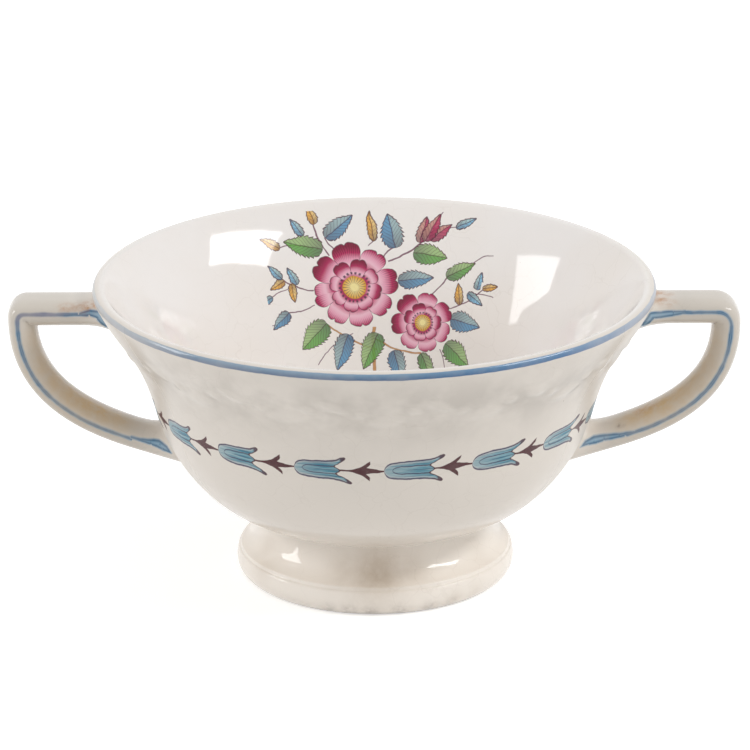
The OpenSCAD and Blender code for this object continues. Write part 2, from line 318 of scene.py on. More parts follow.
def strap(corner, bar_root):
    """Rings of the whole handle: a root on the lip's wall, the loop, and a root on the belly."""
    line, outward, progress = edge_line(corner, bar_root)
    across, out = section(STRAP_HALF, 1.0, 1.0)
    out = np.where(out >= 0, out * (CROWN_TOP + (CROWN_LOW - CROWN_TOP) * progress),
        out * (INNER_TOP + (INNER_LOW - INNER_TOP) * progress))
    loop = np.stack([line[:, :1] + out * np.cos(outward)[:, None], across + 0 * out,
        line[:, 1:] + out * np.sin(outward)[:, None]], axis=-1)
    top_root = root(loop[0], 0, EDGE_Z, 1, ROOT_UP, ROOT_DOWN)
    low_root = root(loop[-1], -1 / np.tan(outward[-1]), FOOT_Z, -1, LOW_DOWN, LOW_UP)
    return np.concatenate([top_root[:0:-1], loop, low_root[1:]])


# corner radius, length of the bar's root, sense of x
HANDLES = {"right": (3.0, 5.8, 1), "left": (1.6, 4.0, -1)}
handles, edge_lines = [], {}
for side, (corner, bar_root, sign) in HANDLES.items():
    rings = strap(corner, bar_root) * [sign, 1, 1]
    edge_lines[side] = rings[:, [0, ROUND // 2]]
    first, last = rings[0].mean(axis=0), rings[-1].mean(axis=0)
    handles.append(closed_skin(side + "_handle", rings[:, ::sign], first, last))
    print(side, "handle:", len(rings), "rings, tip at", np.abs(rings[..., 0]).max().round(1), "mm")

# %% [markdown]
# ## Join the three into one skin
#
# The real joints are closed, so the meshes are united by a Boolean, and the handles' buried ends vanish.

# %% Unite body and handles
for handle in handles:
    union = bowl.modifiers.new("join", "BOOLEAN")
    union.operation = "UNION"
    union.solver = "MANIFOLD"
    union.object = handle
skin = bpy.data.meshes.new_from_object(bowl.evaluated_get(bpy.context.evaluated_depsgraph_get()))
bowl.modifiers.clear()
bowl.data = skin
skin.name = "soup_bowl"
for handle in handles:
    bpy.data.objects.remove(handle)
skin.shade_smooth()

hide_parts("bowl")
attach(bowl, "root")

print("joined:", len(skin.vertices), "points,", sum(len(p.vertices) - 2 for p in skin.polygons), "triangles")

# %% [markdown]
# ## Nodes in one line
#
# Every pattern here is a short sum, so one small function adds any node, and calls stand inside each other
# as they would in a formula. Colours are written as codes of screen colours, and turned linear as they are
# set.

# %% Colours and nodes
WORD_SETS = {"Mix": "data_type", "Attribute": "attribute_name"}


def colour(code):
    """The linear colour of an sRGB code: the standard's curve, a 2.4 power with a straight foot."""
    srgb = np.array([int(code[i : i + 2], 16) for i in (1, 3, 5)]) / 255
    linear = np.where(srgb <= 0.04045, srgb / 12.92, ((srgb + 0.055) / 1.055) ** 2.4)
    return (*linear.tolist(), 1.0)


def open_nodes(owner):
    """Turn on the nodes of a material or a world, and make its tree the one that add works in."""
    global tree
    owner.use_nodes = True
    tree = owner.node_tree
    return tree.nodes


def add(kind, *inputs, out=0, points=None, stops=None, **settings):
    """Add a node to the open tree and give back one of its outputs, several for a slice, or all three of
    SeparateXYZ. A word after the kind sets its operation, a Mix's type of data or an Attribute's name, and a
    kind in capitals is an operation of the Math node. Inputs fill the open sockets in order: an output is
    linked, a value or the code of a colour is set and None is left. Points are places on a curve, stops are
    places and codes on a ramp."""
    kind, _, word = ("Math " + kind if kind.isupper() else kind).partition(" ")
    node = tree.nodes.new("ShaderNode" + kind)
    if word:
        setattr(node, WORD_SETS.get(kind, "operation"), word)
    for name, value in settings.items():
        setattr(node, name, value)
    for socket, value in zip([s for s in node.inputs if s.enabled], inputs):
        if isinstance(value, bpy.types.NodeSocket):
            tree.links.new(value, socket)
        elif value is not None:
            socket.default_value = colour(value) if isinstance(value, str) else value
    if points:
        node.mapping.use_clip = False
        curve = node.mapping.curves[0].points
        curve[0].location, curve[-1].location = points[0], points[-1]
        for place in points[1:-1]:
            curve.new(*place)
        node.mapping.update()
    if stops:
        marks = node.color_ramp.elements
        marks[0].position, marks[-1].position = stops[0][0], stops[-1][0]
        for position, _ in stops[1:-1]:
            marks.new(position)
        for mark, (_, code) in zip(marks, stops):
            mark.color = colour(code)
    if isinstance(out, str):
        return node.outputs[out]
    outputs = [s for s in node.outputs if s.enabled]
    return outputs if kind == "SeparateXYZ" else outputs[out]


def stripe(value, outer, inner, most):
    """A soft line along which this value is nothing: at its full where the value is under inner, on either
    side, and gone from outer on."""
    return add("MapRange", add("ABSOLUTE", value), outer, inner, 0.0, most)


print("cream is", np.round(colour("#efe9e1"), 3))

# %% [markdown]
# ## Numbers that travel on the faces
#
# A painter's stroke is a line with two ends and a width. Each face of the mesh can carry the numbers of the
# stroke that passes nearest to it, and the material works out its distance from that stroke at every point.
# So the painting needs no picture, it is as sharp as the mathematics, and hundreds of strokes cost no more
# than one.

# %% Nearest stroke of every face
centres = np.empty((len(skin.polygons), 3))
skin.polygons.foreach_get("center", centres.reshape(-1))
centres /= MM
face_r = np.hypot(centres[:, 0], centres[:, 1])


def nearest_stroke(spots, begins, ends):
    """The number of the nearest stroke. The foot of the perpendicular from p on the stroke from a to b is
    a + t (b - a), t = (p - a).(b - a) / |b - a|^2, held between 0 and 1."""
    along = ends - begins
    t = np.clip(((spots[:, None] - begins) * along).sum(-1) / (along**2).sum(-1), 0, 1)
    return np.linalg.norm(spots[:, None] - begins - t[..., None] * along, axis=-1).argmin(axis=1)


def carry(name, chosen, numbers, otherwise):
    """Store three numbers on each chosen face, and the other three on the rest."""
    values = np.tile(np.array(otherwise, float), (len(centres), 1))
    values[chosen] = numbers
    skin.attributes.new(name, "FLOAT_VECTOR", "FACE").data.foreach_set("vector", values.reshape(-1))


# %% [markdown]
# ## The lip's blue line
#
# A banding line is laid with a loaded brush while the bowl spins. Its blue is painted pale on the lip's
# upper side and deeper along its lower edge, as painted light and shade. Its strength wanders round, and
# beside the handles, where hands hold the bowl, it is worn.

# %% Line on the lip
LINE_AT, LINE_HALF, LINE_SOFT, LINE_WANDER = 0.56, 0.69, 0.07, 0.5


def lip_line(under, spot):
    """Blue where the angle round the lip's arc, times the arc's radius, is within the line's half width."""
    x, y, z = add("SeparateXYZ", spot)
    wander = add("TexNoise", spot, 0.16, 3.0, 0.6)
    up = add("SUBTRACT", z, float(lip_centre[1]))
    outward = add("SUBTRACT", add("VectorMath LENGTH", add("CombineXYZ", x, y, 0.0)), float(lip_centre[0]))
    arc = add("MULTIPLY", add("ARCTAN2", up, outward), LIP_R)
    off = add("ADD", add("ABSOLUTE", add("SUBTRACT", arc, LINE_AT)),
        add("MULTIPLY_ADD", wander, LINE_WANDER, -LINE_WANDER / 2))
    amount = add("MapRange", off, LINE_HALF + LINE_SOFT, LINE_HALF - LINE_SOFT)
    near_lip = add("LESS_THAN", add("ABSOLUTE", outward), 2.2)
    strength = add("MapRange", wander, 0.3, 0.72, 0.8, 1.0)
    leftward = add("MapRange", x, -50.0, 5.0, 0.74, 1.0)
    worn = add("MapRange", add("ABSOLUTE", x), 40.0, 60.0, 1.0, 0.45)
    for part in (near_lip, strength, leftward, worn):
        amount = add("MULTIPLY", amount, part)
    # painted light and shade: paler blue on the lip's upper side, deeper on its lower side
    painted_lip_light = add("MapRange", arc, 0.1, 1.2)
    blue = add("Mix RGBA", painted_lip_light, "#2c5f8b", "#6b98b9")
    bluer = add("Mix RGBA", add("MapRange", x, 0.0, 58.0, 0.0, 0.6), blue, "#4480b8")
    return add("Mix RGBA", amount, under, bluer)


# %% [markdown]
# ## The handles' blue lines
#
# On each handle a brush ran along both edges of the strap. At the wall it was pressed and lifted, which
# left long wedges with a dark rim where the colour pooled. The edge strokes come from the strap's own
# rings. The wedges are short chains of points with half widths, given for the front and mirrored for the
# back.

# %% Strokes on the handles
# x, y, z and half width: first the upper wedge, then the lower one
WEDGES = {
    "right": [
        [(66.5, 5.5, 60.2, 0.45), (63.7, 5.5, 59.9, 0.7), (61.2, 5.6, 59.6, 0.85), (59.4, 5.9, 59.5, 0.9),
            (58.2, 5.6, 57.6, 0.8), (57.2, 5.9, 55.6, 0.45), (56.4, 6.0, 54.4, 0.1)],
        [(56.0, 5.5, 32.8, 0.4), (53.0, 5.4, 32.1, 0.5), (49.8, 5.4, 31.6, 0.7), (47.6, 5.4, 31.1, 0.85),
            (45.7, 5.8, 30.5, 0.6), (44.4, 6.2, 29.6, 0.1)]],
    "left": [
        [(-62.8, 5.5, 60.2, 0.46), (-60.8, 5.8, 60.5, 0.65), (-59.1, 6.2, 60.2, 1.0),
            (-58.0, 5.9, 58.2, 0.75), (-57.0, 6.0, 56.0, 0.4), (-55.8, 6.2, 53.6, 0.28),
            (-54.6, 6.4, 51.4, 0.1)],
        [(-52.6, 5.4, 32.1, 0.35), (-50.7, 5.4, 31.5, 0.4), (-48.6, 5.5, 31.0, 0.6), (-46.8, 5.6, 30.6, 0.85),
            (-45.3, 5.9, 29.7, 0.75), (-44.0, 6.1, 28.6, 0.1)]]}
EDGE_HALF, EDGE_WANDER, OVERLAP, HALF_WAY_UP = 0.42, 0.4, 1.5, 50
FLATTEN = np.array([1, 0.35, 1])

# the box round either handle
on_handle = (np.abs(centres[:, 0]) > 40) & (np.abs(centres[:, 1]) < 10) & (centres[:, 2] > 24)
begins, ends, halves = [], [], []
for side, wedges in WEDGES.items():
    top, low = np.abs(wedges[0][0][0]), np.abs(wedges[1][0][0])
    for line in np.moveaxis(edge_lines[side], 1, 0):
        reach_out = np.abs(line[:, 0])
        # an edge line ends a little way under the wedge at either root
        past_top, past_low = reach_out > top - OVERLAP, reach_out > low - OVERLAP
        line = line[past_top | (past_low & (line[:, 2] < HALF_WAY_UP))]
        begins, ends = begins + [line[:-1]], ends + [line[1:]]
        halves.append(np.full((len(line) - 1, 2), EDGE_HALF))
    for wedge in map(np.array, wedges):
        for face_side in (-1, 1):
            chain = wedge[:, :3] * [1, face_side, 1]
            begins, ends = begins + [chain[:-1]], ends + [chain[1:]]
            halves.append(np.stack([wedge[:-1, 3], wedge[1:, 3]], axis=1))
begins, ends, halves = (np.concatenate(part) for part in (begins, ends, halves))
begins, ends = begins * FLATTEN, ends * FLATTEN
which = nearest_stroke(centres[on_handle] * FLATTEN, begins, ends)
carry("stroke_begin", on_handle, begins[which], (0, 0, -100))
carry("stroke_end", on_handle, ends[which], (0, 0, -101))
carry("stroke_halves", on_handle, np.pad(halves[which], ((0, 0), (0, 1))), (0, 0, 0))
print("handle strokes:", len(begins), "stretches for", on_handle.sum(), "faces")


# %% Paint the strokes
def handle_lines(under, spot):
    """Blue within the stroke's half width, which runs evenly between its ends. Counted inwards from its soft
    edge, the blue deepens to a dark line and grows pale again where a wide place leaves room for it."""
    begin = add("Attribute stroke_begin", out="Vector")
    along = add("VectorMath SUBTRACT", add("Attribute stroke_end", out="Vector"), begin)
    first, last, _ = add("SeparateXYZ", add("Attribute stroke_halves", out="Vector"))
    from_begin = add("VectorMath SUBTRACT", add("VectorMath MULTIPLY", spot, tuple(FLATTEN)), begin)
    t = add("DIVIDE", add("VectorMath DOT_PRODUCT", from_begin, along),
        add("VectorMath DOT_PRODUCT", along, along), use_clamp=True)
    distance = add("VectorMath DISTANCE", from_begin, add("VectorMath SCALE", along, t))
    half = add("ADD", first, add("MULTIPLY", t, add("SUBTRACT", last, first)))
    wander = add("TexNoise", spot, 0.32, 2.0, 0.5)
    swung = add("ADD", half, add("MULTIPLY_ADD", wander, EDGE_WANDER, -EDGE_WANDER / 2))
    inward = add("SUBTRACT", swung, distance)
    inside = add("MapRange", inward, -0.26, 0.14)
    strength = add("MapRange", wander, 0.3, 0.7, 0.75, 1.0)
    x, _, z = add("SeparateXYZ", spot)
    dull = add("MULTIPLY", add("MapRange", x, -65.0, -69.0), add("MapRange", z, 56.0, 59.5, 0.0, 0.85))
    blue = add("ValToRGB", inward, stops=[(0.0, "#7ba3bf"), (0.16, "#4a7fa3"),
        (0.32, "#34688e"), (0.55, "#6c9bba"), (0.8, "#8fb3cb")])
    tint = add("Mix RGBA", dull, blue, "#8a889a")
    return add("Mix RGBA", add("MULTIPLY", inside, strength), under, tint)


# %% [markdown]
# ## The husk border
#
# Chains of bell-shaped husks are old common ornament. Here sixteen husks hang nose to tail round the waist,
# each with a dark spray in its mouth. A printed outline was filled by hand, so the line is thin and even
# and the wash inside is streaky and pale at one end. Along the border u runs from a husk's closed end and v
# is the height over the border's middle, both in millimetres on the real wall.

# %% One husk and its spray
HUSKS, BORDER_Z, BORDER_STRETCH, BORDER_TURN, BORDER_R, DRIFT = 16, 40.1, 1.035, 2.25, 48.0, 0.45
UNIT = 2 * math.pi * BORDER_R / HUSKS
SHAKE_U, SHAKE_V, MOUTH_SLANT, GROWN = 0.9, 0.8, 0.2, 0.925
HUSK_SIDE = [(0, 0), (0.3, 0.95), (0.8, 1.5), (1.5, 1.85), (4, 2.15), (6, 2.2), (8.6, 2.4), (9.8, 2.7),
    (10.6, 3.1), (11.3, 3.3)]
HUSK_MOUTH = [(0, 9.9), (0.5, 9.3), (0.95, 8.8), (1.6, 9.6), (2.3, 10.7), (2.8, 11.25), (3.2, 11.35),
    (3.5, 10.9)]
INNER_FOLD = [(1.5, -0.4), (1.8, 0.25), (2.4, 0.68), (5, 0.9), (8.9, 1.0)]
SPRAY = [(9.5, 0.1), (9.9, 0.2), (11.4, 0.22), (12.6, 0.46), (13.6, 0.84), (14.5, 0.98), (15.1, 0.8),
    (15.7, 0.68), (17.2, 0.42), (18.3, 0.24), (19, 0.2)]
BARB_OUTER = [(13.2, 0.3), (13.6, 0.75), (14.3, 1.2), (15.1, 1.85), (16.0, 2.6)]
BARB_INNER = [(13.2, 0), (14.7, 0.3), (15.2, 0.8), (15.7, 1.35), (16.1, 2.0)]


def past(value, at, points):
    """How far a value is past the curve through these points, which is read at another value."""
    return add("SUBTRACT", value, add("FloatCurve", 1.0, at, points=points))


def husk_border(under, spot):
    """Distances from the husk's side and mouth curves give its wash, its outline and its folds. The mouths on
    the left are slanted, the husks on the right are longer. The spray is where |v| is under one curve, its
    barbs are between two."""
    x, y, z = add("SeparateXYZ", spot)
    around = add("ARCTAN2", x, add("MULTIPLY", y, -1.0))
    shake = add("TexNoise", spot, 0.22, 3.0, 0.6, out="Color")
    shake_u, shake_v, grain = add("SeparateXYZ", shake)
    turns = add("SUBTRACT", add("MULTIPLY_ADD", around, HUSKS / (2 * math.pi),
        HUSKS - BORDER_TURN * HUSKS / 360), add("MULTIPLY", add("SINE", around), DRIFT / UNIT))
    u = add("ADD", add("MULTIPLY", add("FRACT", turns), UNIT),
        add("MULTIPLY_ADD", shake_u, SHAKE_U, -SHAKE_U / 2))
    v = add("ADD", add("MULTIPLY_ADD", z, BORDER_STRETCH, -BORDER_Z * BORDER_STRETCH),
        add("MULTIPLY_ADD", shake_v, SHAKE_V, -SHAKE_V / 2))
    off = add("ABSOLUTE", v)
    slant = add("MULTIPLY", add("MapRange", x, -3.0, 3.0, MOUTH_SLANT, 0.0), add("MapRange", u, 4.0, 10.0))
    grown = add("MULTIPLY", u, add("MapRange", x, -3.0, 3.0, 1.0, GROWN))
    slanted = add("MULTIPLY_ADD", v, slant, grown)
    from_side = past(off, slanted, HUSK_SIDE)
    from_mouth = past(slanted, off, HUSK_MOUTH)
    edge = add("MAXIMUM", from_side, from_mouth)
    husk = add("MapRange", edge, 0.05, -0.08)
    streaks = add("TexNoise", add("CombineXYZ", add("MULTIPLY", turns, 2.0), add("MULTIPLY", v, 1.6), 0.0),
        1.0, 2.0, 0.5)
    strength = add("ADD", add("MapRange", streaks, 0.3, 0.7, 0.6, 1.0),
        add("MapRange", u, 0.0, 7.0, -0.14, 0.12))
    wash = add("Mix RGBA", add("MapRange", streaks, 0.35, 0.65), "#58a3b5", "#257892")
    thick = add("MULTIPLY", strength, add("MapRange", from_side, -0.7, -0.3, 0.97, 0.62))
    painted = add("Mix RGBA", add("MULTIPLY", husk, thick), under, wash)

    outline = stripe(edge, 0.28, 0.12, 0.95)
    tips = add("MULTIPLY", husk, add("MapRange", slanted, 10.1, 10.6, 0.0, 0.9))
    fold = stripe(past(off, u, INNER_FOLD), 0.2, 0.08, 0.85)
    middle = add("MULTIPLY", add("MapRange", off, 0.16, 0.06, 0.0, 0.5), add("MapRange", u, 4.0, 5.0))
    rib = stripe(add("SUBTRACT", off, 1.6), 0.14, 0.05, 0.35)
    folds = add("MULTIPLY", add("MAXIMUM", add("MAXIMUM", fold, middle), rib),
        add("MULTIPLY", husk, add("MapRange", u, 1.2, 1.8)))
    ink = add("Mix RGBA", add("MapRange", from_mouth, -3.0, 0.0), "#383055", "#430e26")
    drawn = add("Mix RGBA", add("MAXIMUM", add("MAXIMUM", outline, tips), folds), painted, ink)

    spray = add("MULTIPLY", add("MapRange", past(off, u, SPRAY), 0.05, -0.05),
        add("GREATER_THAN", slanted, 9.6))
    barb = add("MULTIPLY", add("MapRange", past(off, u, BARB_OUTER), 0.05, -0.05),
        add("MapRange", past(off, u, BARB_INNER), -0.05, 0.05))
    barb = add("MULTIPLY", barb, add("MapRange", u, 16.05, 15.9))
    dark = add("MULTIPLY", add("MAXIMUM", spray, barb), add("MapRange", grain, 0.3, 0.6, 0.95, 1.0))
    return add("Mix RGBA", dark, drawn, "#4a0414")


# %% [markdown]
# ## A posy on the inside
#
# The far wall of the inside carries a generic posy, printed in fine plum lines and filled by hand. The wall
# is laid flat for it: across is the arc round the wall and up is the height, stretched by the wall's slope,
# both in millimetres. Leaves are toothed blades on a line from base to tip, twigs are a bow between two
# ends, and flowers are a polar curve. Each has layers of its own, so a leaf may lie over a twig or over
# another leaf.

# %% Layout of the posy
FLAT_R, FLAT_Z, FLAT_STRETCH, POSY_SHAKE = 48.0, 48.0, 1.13, 0.8
GREEN, BLUE, OCHRE, SKY = "#5fa83c", "#4f93bd", "#f2b22c", "#7cbcdc"
PLUM, TAN, ROSE = "#6a1c46", "#c08436", "#bf1a5a"

# from x and y to x and y, half width, colour
POSY_LEAVES = [
    [(4.5, 9.5, 2.5, 17, 2.3, BLUE), (-11, 9.5, -19, 12, 2.4, GREEN), (-11.5, -7.5, -18.6, -13.5, 2.8, GREEN),
        (18, -12, 25.4, -16.6, 2.6, GREEN), (1, -10.5, -3, -19, 2.6, GREEN),
        (-11.9, 15.2, -12.6, 19.2, 1.0, OCHRE), (-17.6, 2, -19.4, 6.2, 1.0, SKY),
        (-20.5, 3.4, -24.4, 1.6, 0.9, OCHRE), (20.4, -2.4, 19.3, 2.6, 1.0, OCHRE),
        (22, 0.6, 26.2, -1.8, 1.0, SKY), (9.6, 11, 10.4, 16.8, 1.3, ROSE),
        (11.8, 11.6, 15.6, 15.6, 1.3, ROSE)],
    [(-10, 12, -4.2, 16.8, 1.9, BLUE), (-6.5, -10.5, -10, -19, 2.4, BLUE), (18.5, -6, 26.6, -7, 2.4, BLUE),
        (5, -14.5, 7.6, -22.4, 2.2, BLUE), (-19, 2.6, -18.8, -2, 1.0, OCHRE),
        (-21, 3.8, -23.8, 7.4, 0.9, SKY), (24, 1.6, 24.4, 5.8, 1.0, SKY), (25.4, 2.2, 29, 3.2, 0.8, OCHRE),
        (10.7, 11.3, 13, 17.6, 1.4, ROSE), (-14.6, 12.8, -16.6, 17, 0.9, SKY)],
    [(5.4, 2, 13.4, 3.2, 2.1, BLUE), (8.4, 8.6, 16, 8, 2.3, GREEN), (16.4, 3.6, 22.4, 7.6, 1.8, GREEN),
        (0, 11, -1, 17.6, 1, OCHRE), (16.6, 14.8, 20.4, 17.4, 0.9, SKY), (-20, 10.8, -24, 13.6, 1.0, OCHRE),
        (-24.2, 0, -28.2, -1.4, 0.9, SKY), (-20.6, -4.2, -25.6, -7.4, 1.5, BLUE),
        (12, -15, 16.4, -22, 1.8, GREEN)]]
# from x and y to x and y, bow, half width, colour
POSY_TWIGS = [
    [(1.5, -26, 0, -9, 0.9, 0.42, TAN), (3, 6.5, 10.6, 12, -0.8, 0.2, PLUM),
        (-9.5, 8, -12.2, 16, 0.7, 0.16, PLUM), (-14, 0.4, -21, 3.8, 0.6, 0.14, PLUM),
        (18, -3.5, 25.6, 2, -0.7, 0.14, PLUM), (-14, -3, -20.8, -4.2, 0.5, 0.13, PLUM)],
    [(0.6, -14.5, -11.5, -8, 0.8, 0.22, TAN), (0.4, -12, 12, -15, -0.9, 0.22, TAN),
        (12, 11.5, 13.4, 18, 0.5, 0.11, PLUM), (-17.5, 1.6, -24.4, 0, -0.5, 0.11, PLUM),
        (22, 0, 28.6, 0.6, 0.5, 0.11, PLUM), (13, -1, 16.6, 3.8, -0.4, 0.15, PLUM),
        (-7.6, 9, -10.2, 12.2, 0.4, 0.15, PLUM)],
    [(1.8, 7.4, 4.6, 9.8, 0.3, 0.15, PLUM), (-1.2, 10, 0, 11.2, 0.1, 0.11, PLUM),
        (-13, 10, -20.2, 11, -0.5, 0.11, PLUM), (11.4, 12.6, 16.8, 15, 0.5, 0.11, PLUM),
        (16.8, -13.6, 19, -18.6, 0.4, 0.11, PLUM), (-24, -7, -28, -7, -0.6, 0.1, PLUM),
        (21.6, 7.2, 26, 10, 0.5, 0.1, PLUM), (-5.4, -10.4, -15, -17.4, -0.7, 0.11, PLUM)]]
# centre x and y, radius, petals, turn in degrees
POSY_FLOWERS = np.array([(-4.5, 0.5, 10, 8, 10), (11.8, -7.6, 7.5, 7, 31)])

# %% Give each face its leaf, twig and flower
flat_face = np.column_stack([np.arctan2(centres[:, 0], centres[:, 1]) * FLAT_R,
    (centres[:, 2] - FLAT_Z) * FLAT_STRETCH])
inner_line = np.concatenate([inside_floor, inside_wall[1:]])
inner_r = np.interp(centres[:, 2], inner_line[:, 1], inner_line[:, 0])
# the far half of the inner wall, as far as the posy reaches on the flat wall
on_posy = ((centres[:, 1] > 0) & (np.abs(face_r - inner_r) < 0.6) & (np.abs(flat_face[:, 0] - 2) < 28)
    & (np.abs(flat_face[:, 1] + 3) < 25))
chosen_flat = flat_face[on_posy]


def carry_strokes(name, rows, size_pairs, otherwise):
    """Give each face of the posy the place, size and tint of the row that passes nearest, base to tip."""
    line = np.array([row[:4] for row in rows])
    begin, end = line[:, :2], line[:, 2:]
    which = nearest_stroke(chosen_flat, begin, end)
    way = end - begin
    place = np.column_stack([(begin + end) / 2, np.arctan2(way[:, 1], way[:, 0])])
    size = np.column_stack([np.linalg.norm(way, axis=1) / 2, size_pairs])
    tint = np.array([colour(row[-1])[:3] for row in rows])
    carry(name + "_place", on_posy, place[which], (1000, 1000, 0))
    carry(name + "_size", on_posy, size[which], otherwise)
    carry(name + "_tint", on_posy, tint[which], (0, 0, 0))


for layer, (leaves, twigs) in enumerate(zip(POSY_LEAVES, POSY_TWIGS)):
    pale_sides = [(row[4], np.sign(row[2] - row[0] + 0.01)) for row in leaves]
    carry_strokes(f"leaf_{layer}", leaves, pale_sides, (1, 1, 1))
    carry_strokes(f"twig_{layer}", twigs, [row[4:6] for row in twigs], (1, 0, 0.1))

flower_distance = np.linalg.norm(chosen_flat[:, None] - POSY_FLOWERS[:, :2], axis=-1)
chosen_flower = POSY_FLOWERS[(flower_distance / POSY_FLOWERS[:, 2]).argmin(axis=1)]
carry("flower_place", on_posy, chosen_flower[:, [0, 1, 4]] * [1, 1, math.radians(1)], (1000, 1000, 0))
carry("flower_size", on_posy, chosen_flower[:, [2, 3, 4]] * [1, 1, 0], (1, 8, 0))
print("posy:", on_posy.sum(), "faces,", sum(map(len, POSY_LEAVES + POSY_TWIGS)), "leaves and twigs")

# %% Twigs and leaves
TOOTH, TOOTH_DEPTH, EDGE_SOFT = 0.95, 0.2, 0.06


def own_place(flat, name):
    """Place in the frame of the face's own leaf, twig or flower: moved to its middle and turned level."""
    x, y, turn = add("SeparateXYZ", add(f"Attribute {name}_place", out="Vector"))
    moved = add("VectorMath SUBTRACT", flat, add("CombineXYZ", x, y, 0.0))
    level = add("VectorRotate", moved, None, add("MULTIPLY", turn, -1.0), rotation_type="Z_AXIS")
    return add("SeparateXYZ", level)[:2]


def own_size(name):
    """The three numbers that the face carries as the size of its leaf, twig or flower."""
    return add("SeparateXYZ", add(f"Attribute {name}_size", out="Vector"))


def twig(under, flat, name):
    """A line whose middle is bowed: |b - bow (1 - a^2)| is less than the half width, a from -1 to 1."""
    x, y = own_place(flat, name)
    long, bow, half = own_size(name)
    a = add("DIVIDE", x, long)
    arch = add("MULTIPLY", bow, add("SUBTRACT", 1.0, add("MULTIPLY", a, a)))
    off = add("SUBTRACT", add("ABSOLUTE", add("SUBTRACT", y, arch)), half)
    inside = add("MULTIPLY", add("MapRange", off, EDGE_SOFT, -EDGE_SOFT, 0.0, 0.9),
        add("LESS_THAN", add("ABSOLUTE", a), 1.0))
    tint = add(f"Attribute {name}_tint", out="Color")
    shade = add("Mix RGBA", add("MapRange", off, -0.12, 0.0, 0.0, 0.7), tint, "#5a3448")
    return add("Mix RGBA", inside, under, shade)


def leaf(under, flat, name):
    """Round at the base and pointed: w (1 - a) sqrt(1 + a) to both sides of the rib, a from -1 to 1, with
    teeth along the edge, slanting veins, one pale half and a dark base."""
    x, y = own_place(flat, name)
    long, wide, side = own_size(name)
    a = add("DIVIDE", x, long)
    plump = add("MULTIPLY", add("SUBTRACT", 1.0, a), add("SQRT", add("ADD", a, 1.0)))
    tooth = add("MULTIPLY_ADD", add("FRACT", add("DIVIDE", x, TOOTH)), -TOOTH_DEPTH, 1.0)
    off = add("ABSOLUTE", y)
    gap = add("SUBTRACT", off, add("MULTIPLY", add("MULTIPLY", wide, plump), tooth))
    within = add("LESS_THAN", add("ABSOLUTE", a), 1.0)
    inside = add("MULTIPLY", add("MapRange", gap, EDGE_SOFT, -EDGE_SOFT, 0.0, 0.92), within)
    tint = add(f"Attribute {name}_tint", out="Color")
    pale = add("Mix RGBA", 0.35, tint, "#e4e8b8")
    halves = add("Mix RGBA", add("MapRange", add("MULTIPLY", y, side), -0.12, 0.3), tint, pale)
    deep = add("Mix RGBA", add("MapRange", a, -1.0, 0.2, 0.6, 0.0), halves, "#3c3a48")
    filled = add("Mix RGBA", inside, under, deep)
    slant = add("FRACT", add("DIVIDE", add("SUBTRACT", x, add("MULTIPLY", off, 1.1)), TOOTH))
    veins = stripe(add("SUBTRACT", slant, 0.5), 0.14, 0.06, 0.5)
    lines = add("MULTIPLY", add("MAXIMUM", add("MapRange", off, 0.13, 0.05, 0.0, 0.85), veins), inside)
    rim = add("MULTIPLY", stripe(gap, 0.17, 0.07, 0.9), within)
    return add("Mix RGBA", add("MAXIMUM", lines, rim), filled, "#4c1a30")


# %% [markdown]
# ## Flowers
#
# A petal is a lobe of the radius round the middle: half a sine wave would be too pointed, so a soft curve
# of the distance from the petal's middle line gives blunt lobes. Crimson runs in from the rim and out from
# the heart in fine engraved lines and leaves a pale belt, and a second ring of petals stands half a petal
# on.

# %% One flower
PETAL_EDGE = [(0, 0.94), (0.12, 0.99), (0.3, 1.0), (0.6, 0.97), (0.85, 0.88), (1, 0.72)]
ENGRAVED, BEADS, HEART = 120.0, 22.0, 0.26


def comb(angle, count):
    """Distance from the middle of each of the teeth that this many make round the flower, 0 to a half."""
    return add("ABSOLUTE", add("SUBTRACT", add("FRACT", add("MULTIPLY", angle, count)), 0.5))


